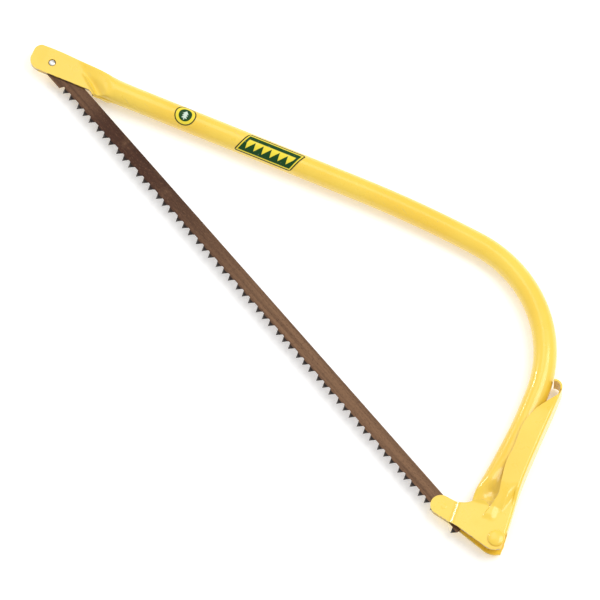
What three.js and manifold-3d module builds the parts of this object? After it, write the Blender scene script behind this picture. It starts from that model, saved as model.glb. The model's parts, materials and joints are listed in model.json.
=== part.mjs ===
// A pointed-nose bow saw, lying flat: a bent steel tube, a peg-tooth blade held at the
// pressed nose, and a pressed channel lever at the grip that pulls the blade tight.
//
// Drawing frame, in millimetres: the nose pin is at the origin, X runs along the blade to the
// rear pin, Y points from the teeth towards the bow, and Z = 0 is the middle plane of the saw.
// The finished group is lifted and centred, so that its origin is the middle of its underside.

import * as THREE from 'three';
import { mergeVertices } from 'three/addons/utils/BufferGeometryUtils.js';
import Module from 'manifold-3d';

const wasm = await Module();
wasm.setup();

// ---------- Driving dimensions ----------

const PIN_SPAN = 503; // nose pin to rear blade pin
const RUNNING_GAP = 0.35; // radial play of a pin in its hole

const TUBE_RADIUS = 9.5;
const WALL = 1.5; // wall of the tube, and sheet of the lever
const TUBE_HEADING = 27.2; // direction of the straight top tube, in degrees from the blade
const AXIS_BELOW_PIN = 2; // the tube's axis passes this far below the nose pin
const NOSE_REACH = 18.5; // from the nose pin to the rounded nose end
const TUBE_RUNS = [ // the tube's centre line, from the nose end to the pivot
  { length: 290 },
  { radius: 1000, turn: -6.3 },
  { radius: 108, turn: -81.4 },
  { length: 60 },
  { radius: 160, turn: -8 },
  { length: 8 },
  { radius: 40, turn: 28 },
  { length: 34.5 },
];

const PADDLE = { halfWidth: 14.2, halfThick: 2.2, flatTo: 46, roundFrom: 70 };
const SLOT_EDGE = 8; // the paddle's lower fold is cut off this far below the tube's axis
const HEEL = { halfWidth: 13.2, halfThick: 3.1, roundTo: 602, flatFrom: 652 };

const PIVOT = new THREE.Vector2(552, 13.6);
const LEVER_HEADING = 122; // from the pivot towards the finger tongue, in degrees
const CHANNEL_HALF = 11.5; // outside half height of the channel round the grip
const CHEEK_HALF = 7; // outside half height of the cheeks at the pivot
const EAR_HALF = 2.2; // outside half height of the ears that hold the blade
const JOGGLE = { from: 35.7, to: 42.1, half: 4.6 }; // the bend that closes the cheeks to the ears
const EAR_RADIUS = 8.5;

const BLADE = { thick: 0.8, back: 6.4, gullet: -5.3, tip: -10.2, noseReach: 6.5, tailReach: 23.5 };
const BLADE_HEEL = { from: 5, to: 20.8, low: -9.2 }; // the plain deep end before the first tooth
const TOOTH = { groups: 19, perGroup: 3, first: 26.4, groupPitch: 25.75, pitch: 7.8, halfBase: 3, last: 523.45 };

const NOSE_PIN_RADIUS = 2.6;
const REAR_PIN_RADIUS = 2.4;
const PIVOT_SHANK_RADIUS = 3;
const PIVOT_HEAD = { radius: 6.8, height: 2.3 };

const BADGE = { along: 138.5, halfLength: 9, halfWidth: 7.6 };
const PLATE = { along: 212.5, halfLength: 25, halfWidth: 7.4, corner: 2, offset: -1.6, slant: 0.5 };
const STICKER = { gap: 0.12, thick: 0.15 };

const PAINT = { color: 0xf2cf45, roughness: 0.32, metalness: 0 };

const DEG = Math.PI / 180;

// ---------- Solids ----------

// A closed geometry becomes a manifold solid.
function solid(geometry) {
  const bare = geometry.clone();
  bare.deleteAttribute('normal');
  bare.deleteAttribute('uv');
  const merged = mergeVertices(bare, 1e-4);
  return new wasm.Manifold(new wasm.Mesh({
    numProp: 3,
    vertProperties: new Float32Array(merged.attributes.position.array),
    triVerts: new Uint32Array(merged.index.array),
  }));
}

// A manifold solid becomes a named mesh with its own material.
function part(name, body, look) {
  const mesh = body.getMesh();
  const geometry = new THREE.BufferGeometry();
  geometry.setAttribute('position', new THREE.BufferAttribute(mesh.vertProperties, 3));
  geometry.setIndex(new THREE.BufferAttribute(mesh.triVerts, 1));
  const result = new THREE.Mesh(geometry, new THREE.MeshStandardMaterial(look));
  result.name = name;
  return result;
}

// An outline in the XY plane, extruded from zLow to zHigh.
function prism(shape, zLow, zHigh, curveSegments = 12) {
  const geometry = new THREE.ExtrudeGeometry(shape, {
    depth: zHigh - zLow,
    bevelEnabled: false,
    curveSegments,
  });
  geometry.translate(0, 0, zLow);
  return solid(geometry);
}

function polygon(points) {
  return new THREE.Shape(points.map(([x, y]) => new THREE.Vector2(x, y)));
}

// An upright round bar.
function bar(x, y, radius, zLow, zHigh, sides = 24) {
  const geometry = new THREE.CylinderGeometry(radius, radius, zHigh - zLow, sides);
  geometry.rotateX(Math.PI / 2);
  geometry.translate(x, y, (zLow + zHigh) / 2);
  return solid(geometry);
}

// A turned body about the Z axis through (x, y), from [radius, z] points on a closed profile.
function turned(x, y, profile, sides = 28) {
  const geometry = new THREE.LatheGeometry(profile.map(([r, z]) => new THREE.Vector2(r, z)), sides);
  geometry.rotateX(Math.PI / 2);
  geometry.translate(x, y, 0);
  return solid(geometry);
}

// ---------- Frame tube ----------

// The pose on the tube's centre line at a distance from the nose end: place and heading.
function tubeAt(distance) {
  const heading = TUBE_HEADING * DEG;
  const along = new THREE.Vector2(Math.cos(heading), Math.sin(heading));
  const up = new THREE.Vector2(-along.y, along.x);
  const place = along.clone().multiplyScalar(-NOSE_REACH).addScaledVector(up, -AXIS_BELOW_PIN);
  let angle = heading;
  let left = distance;
  for (const run of TUBE_RUNS) {
    const runLength = run.length ?? run.radius * Math.abs(run.turn) * DEG;
    const step = Math.min(left, runLength);
    if (run.length) {
      place.add(new THREE.Vector2(Math.cos(angle), Math.sin(angle)).multiplyScalar(step));
    } else {
      const turn = Math.sign(run.turn) * step / run.radius;
      const chord = 2 * run.radius * Math.sin(Math.abs(turn) / 2);
      const middle = angle + turn / 2;
      place.add(new THREE.Vector2(Math.cos(middle), Math.sin(middle)).multiplyScalar(chord));
      angle += turn;
    }
    left -= step;
  }
  return { place, angle };
}

const TUBE_LENGTH = TUBE_RUNS.reduce(
  (sum, run) => sum + (run.length ?? run.radius * Math.abs(run.turn) * DEG), 0);

// The tube's section: half width, half thickness, and how far its top and bottom are pressed
// flat. An ellipse whose height is clipped turns from round, at 1, to a flat-sided oval.
function sectionAt(distance) {
  const nose = 1 - THREE.MathUtils.smoothstep(distance, PADDLE.flatTo, PADDLE.roundFrom);
  const heel = THREE.MathUtils.smoothstep(distance, HEEL.roundTo, HEEL.flatFrom);
  const press = nose > 0 ? PADDLE : HEEL;
  const amount = nose > 0 ? nose : heel;
  return {
    halfWidth: THREE.MathUtils.lerp(TUBE_RADIUS, press.halfWidth, amount),
    halfThick: THREE.MathUtils.lerp(TUBE_RADIUS, press.halfThick, amount),
    clip: 1 + 1.2 * amount,
  };
}

// Distances along the tube that need a section: close together where it bends or is pressed.
function tubeStations(from, to) {
  const marks = [from, to];
  for (let d = PADDLE.flatTo; d <= PADDLE.roundFrom; d += 4) {
    marks.push(d);
  }
  for (let d = HEEL.roundTo; d <= TUBE_LENGTH; d += 5) {
    marks.push(d);
  }
  for (let d = 290; d < HEEL.roundTo; d += d < 390 ? 25 : 9) {
    marks.push(d);
  }
  return marks.filter((d) => d >= from && d <= to).sort((a, b) => a - b);
}

// A closed skin through rings of points, with a fan over each end.
function loft(rings) {
  const count = rings[0].length;
  const index = [];
  for (let i = 0; i + 1 < rings.length; i += 1) {
    for (let j = 0; j < count; j += 1) {
      const a = i * count + j;
      const b = i * count + (j + 1) % count;
      index.push(a, b + count, b, a, a + count, b + count);
    }
  }
  const last = (rings.length - 1) * count;
  for (let j = 1; j + 1 < count; j += 1) {
    index.push(0, j, j + 1);
    index.push(last, last + j + 1, last + j);
  }
  const geometry = new THREE.BufferGeometry();
  geometry.setAttribute('position', new THREE.Float32BufferAttribute(rings.flat(2), 3));
  geometry.setIndex(index);
  return solid(geometry);
}

function tubeSolid(from, to, inset, sides) {
  const rings = tubeStations(from, to).map((distance) => {
    const { place, angle } = tubeAt(distance);
    const { halfWidth, halfThick, clip } = sectionAt(distance);
    return Array.from({ length: sides }, (_, j) => {
      const turn = 2 * Math.PI * (j + 0.5) / sides;
      const side = (halfWidth - inset) * Math.cos(turn);
      const flat = THREE.MathUtils.clamp(clip * Math.sin(turn), -1, 1);
      return [
        place.x + side * Math.sin(angle),
        place.y - side * Math.cos(angle),
        (halfThick - inset) * flat,
      ];
    });
  });
  return loft(rings);
}

// What is trimmed off the pressed nose: round its end, and below the blade slot. It is drawn in
// the tube's own frame, with the nose pin's foot on the axis at the origin.
function noseWaste() {
  const shape = new THREE.Shape();
  shape.moveTo(-40, -30);
  shape.lineTo(46, -30);
  shape.lineTo(46, -13);
  shape.lineTo(38, -SLOT_EDGE);
  shape.lineTo(-8.5, -SLOT_EDGE);
  shape.absarc(-8.5, 2, 10, -Math.PI / 2, -Math.PI, true);
  shape.lineTo(-18.3, 6.5);
  shape.absarc(-11.3, 7.2, 7, Math.PI, Math.PI / 2, true);
  shape.lineTo(-11.3, 30);
  shape.lineTo(-40, 30);
  const heading = TUBE_HEADING * DEG;
  const waste = prism(shape, -20, 20);
  return waste
    .rotate([0, 0, TUBE_HEADING])
    .translate([AXIS_BELOW_PIN * Math.sin(heading), -AXIS_BELOW_PIN * Math.cos(heading), 0]);
}

// What is trimmed off the flattened heel, so that it stays inside the lever's cheeks: below
// their lower edge, and beyond their edge at the pivot corner.
function heelWaste() {
  const below = polygon([[505, -30], [505, 6.5], [522, 3.2], [575, 7.6], [575, -30]]);
  const corner = polygon([[-40, -40], [8, -40], [8, -4.6], [-40, -4.6]]);
  return prism(below, -20, 20)
    .add(prism(corner, -20, 20).rotate([0, 0, LEVER_HEADING]).translate([PIVOT.x, PIVOT.y, 0]));
}

function frameTube() {
  const noseWall = 11; // solid metal of the closed nose end
  const heelEnd = TUBE_LENGTH - 4; // the skin stops short of the bore, so that the heel is open
  const skin = tubeSolid(0, heelEnd, 0, 24);
  const hollow = tubeSolid(noseWall, TUBE_LENGTH, WALL, 18);
  return skin
    .subtract(hollow)
    .subtract(noseWaste())
    .subtract(heelWaste())
    .subtract(bar(0, 0, NOSE_PIN_RADIUS + RUNNING_GAP, -5, 5))
    .subtract(bar(PIVOT.x, PIVOT.y, PIVOT_SHANK_RADIUS + RUNNING_GAP, -9, 9));
}

// ---------- Blade ----------

function sawBlade() {
  const half = BLADE.thick / 2;
  const tail = PIN_SPAN + BLADE.tailReach;
  const shape = new THREE.Shape();
  shape.moveTo(0, BLADE.back);
  shape.absarc(0, 0, BLADE.noseReach, Math.PI / 2, Math.PI * 1.25, false);
  shape.lineTo(BLADE_HEEL.from, BLADE_HEEL.low);
  shape.lineTo(BLADE_HEEL.to, BLADE_HEEL.low);
  shape.lineTo(BLADE_HEEL.to + 1.4, BLADE.gullet);
  const tooth = (x) => {
    shape.lineTo(x - TOOTH.halfBase, BLADE.gullet);
    shape.lineTo(x, BLADE.tip);
    shape.lineTo(x + TOOTH.halfBase, BLADE.gullet);
  };
  for (let group = 0; group < TOOTH.groups; group += 1) {
    for (let k = 0; k < TOOTH.perGroup; k += 1) {
      const x = TOOTH.first + group * TOOTH.groupPitch + (k - 1) * TOOTH.pitch;
      if (x > BLADE_HEEL.to) {
        tooth(x);
      }
    }
  }
  tooth(TOOTH.last); // one tooth stays past the plain stretch that the ears clasp
  shape.lineTo(tail, BLADE.gullet);
  shape.lineTo(tail, -2);
  shape.lineTo(PIN_SPAN + 6, 3.2);
  shape.lineTo(PIN_SPAN - 4, BLADE.back);
  const slotEase = 1.9; // the rear hole is a slot, so that the lever can slacken the blade
  const slotRadius = REAR_PIN_RADIUS + RUNNING_GAP;
  const slot = new THREE.Shape();
  slot.moveTo(PIN_SPAN - slotEase, -slotRadius);
  slot.absarc(PIN_SPAN, 0, slotRadius, -Math.PI / 2, Math.PI / 2, false);
  slot.absarc(PIN_SPAN - slotEase, 0, slotRadius, Math.PI / 2, Math.PI * 1.5, false);
  return prism(shape, -half, half)
    .subtract(prism(slot, -2, 2))
    .subtract(bar(0, 0, NOSE_PIN_RADIUS + RUNNING_GAP, -2, 2));
}

// ---------- Tension lever ----------
// It is drawn in its own frame: the pivot at the origin, X along the grip towards the finger
// tongue, Y towards the tube and the blade.

const SPINE_START = 9; // where the spine begins, past the open end at the pivot
const SPINE_END = 138.5;
const TONGUE_TURN = 20 * DEG; // the tongue curls round until it has turned this far past square

// The spine's outer face: a shallow arc, hollow on the outside.
function spineFace(x) {
  const middle = 62;
  return -5 - 4.6 * ((x - middle) / (SPINE_END - middle)) ** 2;
}

function spinePoints(inset, from, to) {
  const steps = 10;
  return Array.from({ length: steps + 1 }, (_, i) => {
    const x = from + (to - from) * i / steps;
    return new THREE.Vector2(x, spineFace(x) + inset);
  });
}

// Outline of the two cheeks with the spine: round the open end, along the spine, back down the
// front edge, out round the ear and home along the lower edge.
function cheekShape() {
  const shape = new THREE.Shape();
  shape.moveTo(-8.8, -5.6);
  shape.lineTo(SPINE_START, -5.6);
  spinePoints(0, SPINE_START, SPINE_END).forEach((p) => shape.lineTo(p.x, p.y));
  shape.lineTo(SPINE_END, spineFace(SPINE_END) + WALL);
  shape.splineThru([[129, -3], [114, 6], [98, 10.8], [80, 11.2], [62, 12.6], [38, 10.8], [24, 13.2]]
    .map(([x, y]) => new THREE.Vector2(x, y)));
  shape.splineThru([[27.8, 18], [27.6, 24], [22.6, 32], [21.2, 38]]
    .map(([x, y]) => new THREE.Vector2(x, y)));
  const ear = new THREE.Vector2(14.9, 51.4);
  shape.absarc(ear.x, ear.y, EAR_RADIUS, -10 * DEG, 170 * DEG, false);
  shape.lineTo(5.2, 46);
  shape.lineTo(0.6, 33);
  shape.lineTo(-9.6, 3);
  return shape;
}

// The space between the cheeks: open at the front, the ear, both ends and the pivot corner.
function hollowShape() {
  const shape = new THREE.Shape();
  shape.moveTo(-40, -40);
  shape.lineTo(SPINE_START, -40);
  spinePoints(WALL, SPINE_START, SPINE_END + 20).forEach((p) => shape.lineTo(p.x, p.y));
  shape.lineTo(SPINE_END + 20, 90);
  shape.lineTo(-40, 90);
  return shape;
}

// The height allowed along the lever: the tall channel steps down to the cheeks at the pivot.
function alongEnvelope(inset) {
  const tall = CHANNEL_HALF - inset;
  const low = CHEEK_HALF - inset;
  const half = [[-60, low], [24, low], [48, tall], [200, tall]];
  const shape = polygon([...half, ...half.map(([x, z]) => [x, -z]).reverse()]);
  return prism(shape, -60, 120).rotate([90, 0, 0]).translate([0, 60, 0]);
}

// The height allowed across it: the cheeks draw together past the channel's front edge, and are
// joggled into the ears.
function acrossEnvelope(inset) {
  const tall = CHANNEL_HALF + 5 - inset;
  const wedge = 0.078; // fall of the cheeks towards the ears
  const front = 13.2;
  const atFront = JOGGLE.half + wedge * (JOGGLE.from - front);
  const half = [[-60, tall], [front, tall], [front + 0.1, atFront - inset],
    [JOGGLE.from, JOGGLE.half - inset], [JOGGLE.to, EAR_HALF - inset], [120, EAR_HALF - inset]];
  const shape = polygon([...half, ...half.map(([y, z]) => [y, -z]).reverse()]);
  return prism(shape, -60, 220).rotate([90, 0, 90]);
}

// The finger tongue: the spine's strip runs on past the cheeks and curls in to the tube.
function tongue() {
  const radius = 6.6;
  const outside = new THREE.Vector2(SPINE_END, spineFace(SPINE_END));
  const shape = new THREE.Shape();
  shape.moveTo(outside.x - 2, outside.y + 0.2);
  shape.lineTo(outside.x, outside.y);
  shape.absarc(outside.x + 0.6, outside.y + radius, radius, -90 * DEG, TONGUE_TURN, false);
  shape.absarc(outside.x + 0.6, outside.y + radius, radius - WALL, TONGUE_TURN, -90 * DEG, true);
  shape.lineTo(outside.x - 2, outside.y + WALL + 0.2);
  return prism(shape, -CHANNEL_HALF, CHANNEL_HALF, 10);
}

function tensionLever() {
  const outside = prism(cheekShape(), -20, 20, 5).intersect(alongEnvelope(0)).intersect(acrossEnvelope(0));
  const inside = prism(hollowShape(), -20, 20).intersect(alongEnvelope(WALL)).intersect(acrossEnvelope(WALL));
  return outside
    .subtract(inside)
    .add(tongue())
    .rotate([0, 0, LEVER_HEADING])
    .translate([PIVOT.x, PIVOT.y, 0])
    .subtract(bar(PIVOT.x, PIVOT.y, PIVOT_SHANK_RADIUS + RUNNING_GAP, -9, 9))
    .subtract(bar(PIN_SPAN, 0, REAR_PIN_RADIUS + RUNNING_GAP, -9, 9));
}

// ---------- Pins and rivet ----------

// The pivot rivet: a shank through tube and cheeks with a low domed head on each side.
function pivotRivet() {
  const seat = CHEEK_HALF + 0.3;
  const steps = 5;
  const dome = Array.from({ length: steps }, (_, i) => {
    const turn = i / steps * Math.PI / 2;
    return [PIVOT_HEAD.radius * Math.cos(turn), seat + 0.5 + (PIVOT_HEAD.height - 0.5) * Math.sin(turn)];
  });
  const upper = [[PIVOT_SHANK_RADIUS, seat], [PIVOT_HEAD.radius, seat], ...dome];
  const top = seat + PIVOT_HEAD.height;
  const lower = upper.map(([r, z]) => [r, -z]).reverse();
  return turned(PIVOT.x, PIVOT.y, [[0, -top], ...lower, ...upper, [0, top]]);
}

// A short pin with its two edges broken.
function flushPin(x, y, radius, halfLength) {
  const edge = 0.3;
  const ends = [[radius - edge, halfLength], [radius, halfLength - edge]];
  const lower = ends.map(([r, z]) => [r, -z]);
  return turned(x, y, [[0, -halfLength], ...lower, ...ends.reverse(), [0, halfLength]], 24);
}

// ---------- Stickers ----------

// A thin curved patch on top of the straight tube: a pipe shell cut to an outline, which is
// drawn in the tube's frame with X along it and the origin at the patch's middle.
function sticker(outline, along, halfLength) {
  const inner = TUBE_RADIUS + STICKER.gap;
  const outer = inner + STICKER.thick;
  const rod = (radius) => {
    const geometry = new THREE.CylinderGeometry(radius, radius, 2 * halfLength + 4, 96);
    geometry.rotateZ(Math.PI / 2);
    return solid(geometry);
  };
  const { place } = tubeAt(along);
  return rod(outer)
    .subtract(rod(inner))
    .intersect(prism(outline, 0.5, 20, 16))
    .rotate([0, 0, TUBE_HEADING])
    .translate([place.x, place.y, 0]);
}

// A rectangle with round corners, and its ends slanted.
function plateOutline({ halfLength, halfWidth, corner, offset, slant }) {
  const low = offset - halfWidth;
  const high = offset + halfWidth;
  const shape = new THREE.Shape();
  shape.absarc(halfLength - corner, low + corner, corner, -Math.PI / 2, 0, false);
  shape.absarc(halfLength - corner, high - corner, corner, 0, Math.PI / 2, false);
  shape.absarc(corner - halfLength, high - corner, corner, Math.PI / 2, Math.PI, false);
  shape.absarc(corner - halfLength, low + corner, corner, Math.PI, Math.PI * 1.5, false);
  return polygon(shape.getPoints(4).map((p) => [p.x + slant * (p.y - offset), p.y]));
}

function ellipse(halfLength, halfWidth) {
  const shape = new THREE.Shape();
  shape.absellipse(0, 0, halfLength, halfWidth, 0, Math.PI * 2);
  return shape;
}

// ---------- The saw ----------

const saw = new THREE.Group();
const rearPinMiddle = new THREE.Vector2(PIN_SPAN, 0);

saw.add(part('frame_tube', frameTube(), PAINT));
saw.add(part('saw_blade', sawBlade(), { color: 0x6b4d38, roughness: 0.5, metalness: 0.6 }));
saw.add(part('tension_lever', tensionLever(), PAINT));
saw.add(part('pivot_rivet', pivotRivet(), PAINT));
saw.add(part('nose_pin', flushPin(0, 0, NOSE_PIN_RADIUS, PADDLE.halfThick - 0.2),
  { color: 0xd8d8d4, roughness: 0.25, metalness: 0.9 }));
saw.add(part('rear_blade_pin', flushPin(rearPinMiddle.x, rearPinMiddle.y, REAR_PIN_RADIUS, EAR_HALF), PAINT));
saw.add(part('round_badge', sticker(ellipse(BADGE.halfLength, BADGE.halfWidth), BADGE.along, BADGE.halfLength),
  { color: 0x1f5a35, roughness: 0.4, metalness: 0 }));
saw.add(part('name_plate', sticker(plateOutline(PLATE), PLATE.along, PLATE.halfLength + 4),
  { color: 0x1f5a35, roughness: 0.4, metalness: 0 }));

// The origin goes to the middle of the underside.
const box = new THREE.Box3().setFromObject(saw);
const middle = box.getCenter(new THREE.Vector3());
saw.position.set(-middle.x, -middle.y, -box.min.z);
saw.updateMatrixWorld(true);

export default saw;
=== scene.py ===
"""A pointed-nose bow saw lying flat: bent tube frame, peg-tooth blade, tension lever and pins.

Shapes are worked out in millimetres in two drawing frames and then put into the row frame:
the pin frame has its origin at the nose pin, x along the blade to the rear pin and y towards
the bow; the lever frame has its origin at the pivot, x along the grip towards the finger
tongue and y towards the blade. In both, z = 0 is the middle plane of the saw.
"""

import json
import math

import bmesh
import bpy
import numpy as np
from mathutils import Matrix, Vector
from bpy.props import FloatProperty, FloatVectorProperty, IntProperty, PointerProperty


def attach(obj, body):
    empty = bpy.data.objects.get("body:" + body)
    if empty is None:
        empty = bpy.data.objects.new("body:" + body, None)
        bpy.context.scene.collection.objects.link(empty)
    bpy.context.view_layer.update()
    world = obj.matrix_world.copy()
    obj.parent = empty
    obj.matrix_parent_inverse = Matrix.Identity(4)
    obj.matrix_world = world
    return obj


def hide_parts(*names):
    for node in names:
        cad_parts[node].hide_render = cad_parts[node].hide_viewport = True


bl_info = {
    "name": "Bow Saw",
    "version": (1, 0, 0),
    "blender": (4, 5, 0),
    "location": "View3D > Sidebar > Bow Saw",
    "description": "Builds a pointed-nose bow saw round its packed frame",
    "category": "Object",
}

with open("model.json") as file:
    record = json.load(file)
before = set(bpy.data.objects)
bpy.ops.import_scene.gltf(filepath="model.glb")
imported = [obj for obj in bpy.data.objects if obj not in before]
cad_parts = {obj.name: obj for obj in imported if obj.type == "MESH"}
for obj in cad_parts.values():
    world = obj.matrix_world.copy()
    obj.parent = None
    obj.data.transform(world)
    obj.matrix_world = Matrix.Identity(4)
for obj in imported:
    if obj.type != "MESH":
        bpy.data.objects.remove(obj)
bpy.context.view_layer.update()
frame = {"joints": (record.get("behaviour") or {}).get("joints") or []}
JOINTS = {joint["name"]: np.array(joint["pos_m"]) for joint in frame["joints"]}
NOSE = JOINTS["blade_swing"]
PIVOT = JOINTS["lever_pivot"]

MM = 0.001
PIN_SPAN = 503.0  # nose pin to rear blade pin
TUBE_HEADING = math.radians(27.2)  # the straight top tube, from the blade
AXIS_BELOW_PIN = 2.0  # the tube's axis passes this far below the nose pin
NOSE_REACH = 18.5  # from the nose pin to the rounded nose end
TUBE_RUNS = (  # length in mm and turn in degrees, from the nose end to the pivot
    (290, 0), (109.96, -6.3), (153.44, -81.4), (60, 0), (22.34, -8), (8, 0), (19.55, 28), (34.5, 0),
)
LEVER_HEADING = math.radians(122)  # from the pivot towards the finger tongue
EDGE_ROUND = 0.3 * MM  # how much a cut sheet edge is rounded


# ---------- Numbers and curves ----------

def ease(value):
    """A smooth step from 0 to 1: 3t^2 - 2t^3, with t kept between 0 and 1."""
    t = np.clip(value, 0, 1)
    return t * t * (3 - 2 * t)


def eased(value, span):
    """A smooth step from 0 to 1 over a span, given as (start, length)."""
    start, length = span
    return ease((value - start) / length)


def through(points, at):
    """The smooth curve y(x) through control points: cubic Hermite pieces, finite-difference slopes."""
    x, y = np.array(points, float).T
    slope = np.gradient(y, x)
    at = np.clip(at, x[0], x[-1])
    i = np.clip(np.searchsorted(x, at) - 1, 0, len(x) - 2)
    step = x[i + 1] - x[i]
    t = (at - x[i]) / step
    return ((1 + 2 * t) * (1 - t) ** 2 * y[i] + t * (1 - t) ** 2 * step * slope[i]
            + t * t * (3 - 2 * t) * y[i + 1] - t * t * (1 - t) * step * slope[i + 1])


def spread(*runs):
    """Joined even runs of numbers, each given as (from, to, about how far apart)."""
    parts = [np.linspace(a, b, max(2, round(abs(b - a) / gap) + 1)) for a, b, gap in runs]
    return np.concatenate([parts[0]] + [part[1:] for part in parts[1:]])


def pin_frame(x, y, z):
    """Millimetres in the pin frame as row-frame points in metres."""
    return np.stack(np.broadcast_arrays(x, y, z), -1) * MM + NOSE


def lever_frame(x, y, z):
    """Millimetres in the lever frame, turned by its heading about the pivot, in metres."""
    c, s = math.cos(LEVER_HEADING), math.sin(LEVER_HEADING)
    return np.stack(np.broadcast_arrays(x * c - y * s, x * s + y * c, z), -1) * MM + PIVOT


# ---------- Meshes ----------

def quads(index):
    """The four-sided faces of a grid of point numbers."""
    return np.stack([index[:-1, :-1], index[1:, :-1], index[1:, 1:], index[:-1, 1:]], -1).reshape(-1, 4)


def grid(points, flip=False, **layers):
    """One grid of points as (points, faces, layers) with flat arrays."""
    faces = quads(np.arange(points.shape[0] * points.shape[1]).reshape(points.shape[:2]))
    flat = {name: np.broadcast_to(v, points.shape[:2]).ravel() for name, v in layers.items()}
    return points.reshape(-1, 3), faces[:, ::-1] if flip else faces, flat


def join(*grids):
    """Several grids as one, with their point numbers run on."""
    starts = np.cumsum([0] + [len(g[0]) for g in grids[:-1]])
    points = np.concatenate([g[0] for g in grids])
    faces = np.concatenate([g[1] + start for g, start in zip(grids, starts)])
    names = sorted({name for g in grids for name in g[2]})
    layers = {n: np.concatenate([g[2].get(n, np.zeros(len(g[0]))) for g in grids]) for n in names}
    return points, faces, layers


def mesh_piece(name, shape, outward=False):
    """An object at the origin from (points, faces, layers): doubled points are merged."""
    points, faces, layers = shape
    mesh = bpy.data.meshes.new(name)
    mesh.from_pydata(points.tolist(), [], faces.tolist())
    for layer, values in layers.items():
        data = mesh.attributes.new(layer, "FLOAT", "POINT").data
        data.foreach_set("value", np.asarray(values, np.float32))
    work = bmesh.new()
    work.from_mesh(mesh)
    bmesh.ops.remove_doubles(work, verts=work.verts, dist=2e-6)
    bmesh.ops.dissolve_degenerate(work, edges=work.edges, dist=1e-6)
    if outward:
        bmesh.ops.recalc_face_normals(work, faces=work.faces)
    work.to_mesh(mesh)
    work.free()
    piece = bpy.data.objects.new(name, mesh)
    bpy.context.scene.collection.objects.link(piece)
    return piece


def settle(piece, sharp=35):
    """Applies the modifiers, shades smooth, and keeps edges sharper than the angle crisp."""
    bpy.context.view_layer.update()
    made = piece.evaluated_get(bpy.context.evaluated_depsgraph_get())
    mesh = bpy.data.meshes.new_from_object(made)
    piece.modifiers.clear()
    piece.data = mesh
    mesh.polygons.foreach_set("use_smooth", np.ones(len(mesh.polygons), bool))
    mesh.set_sharp_from_angle(angle=math.radians(sharp))
    mesh.update()


def thicken(piece, wall, even=True):
    """A wall inwards from the skin."""
    solid = piece.modifiers.new("wall", "SOLIDIFY")
    solid.thickness = wall
    solid.offset = -1
    solid.use_even_offset = even


def break_edges(piece):
    """Rounds the edges sharper than 50 degrees a little."""
    bevel = piece.modifiers.new("broken_edges", "BEVEL")
    bevel.width = EDGE_ROUND
    bevel.segments = 2
    bevel.limit_method = "ANGLE"
    bevel.angle_limit = math.radians(50)


def hand_over(piece, node, body, material):
    """Gives a piece its material and its body, and hides the CAD node that it stands for."""
    piece.data.materials.clear()
    piece.data.materials.append(material)
    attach(piece, body)
    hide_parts(node)


# ---------- Materials ----------

class Nodes:
    """A short way to write a material's nodes."""

    def __init__(self, name):
        """Starts a material of this name with its principled shader."""
        self.material = bpy.data.materials.new(name)
        self.material.use_nodes = True
        self.tree = self.material.node_tree
        self.shader = self.tree.nodes["Principled BSDF"]

    def add(self, kind, links=None, **settings):
        """Adds a node, sets its settings, and feeds its inputs."""
        made = self.tree.nodes.new("ShaderNode" + kind)
        for key, value in settings.items():
            setattr(made, key, value)
        for key, value in (links or {}).items():
            self.feed(made.inputs[key], value)
        return made

    def feed(self, socket, value):
        """Links another node's output to a socket, or gives the socket a constant."""
        if isinstance(value, bpy.types.NodeSocket):
            self.tree.links.new(value, socket)
        else:
            socket.default_value = value

    def math(self, operation, a, b=0.0):
        """One sum of two values."""
        return self.add("Math", {0: a, 1: b}, operation=operation).outputs[0]

    def step(self, value, low, high, to_low=0.0, to_high=1.0):
        """A smooth change from to_low to to_high as value goes from low to high."""
        made = self.add("MapRange", {0: value, 1: low, 2: high, 3: to_low, 4: to_high},
                        interpolation_type="SMOOTHSTEP")
        return made.outputs[0]

    def mix(self, amount, a, b):
        """Colour a, turning to colour b as the amount goes to 1."""
        made = self.add("Mix", {0: amount, 6: a, 7: b}, data_type="RGBA")
        return made.outputs[2]

    def noise(self, scale, detail=3.0, rough=0.55, stretch=(1, 1, 1), turn=(0, 0, 0)):
        """Noise on object coordinates, stretched along an axis by a scale below 1."""
        place = self.add("TexCoord").outputs["Object"]
        place = self.add("Mapping", {0: place, 2: turn, 3: stretch}).outputs[0]
        made = self.add("TexNoise", {
            "Vector": place, "Scale": scale, "Detail": detail, "Roughness": rough})
        return made.outputs[0]

    def layer(self, name):
        """A number that the mesh carries at each point."""
        return self.add("Attribute", attribute_name=name).outputs["Fac"]

    def bump(self, height, strength, distance):
        """A normal tilted by a height, at a strength and over a distance in metres."""
        made = self.add("Bump", {"Height": height, "Strength": strength, "Distance": distance})
        return made.outputs[0]

    def finish(self, **sockets):
        """Feeds the shader's sockets, with _ for a blank in their names, and gives the material."""
        for key, value in sockets.items():
            self.feed(self.shader.inputs[key.replace("_", " ")], value)
        return self.material


def colour(values):
    """A colour property as red, green, blue and full alpha."""
    return (*values[:3], 1.0)


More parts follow.
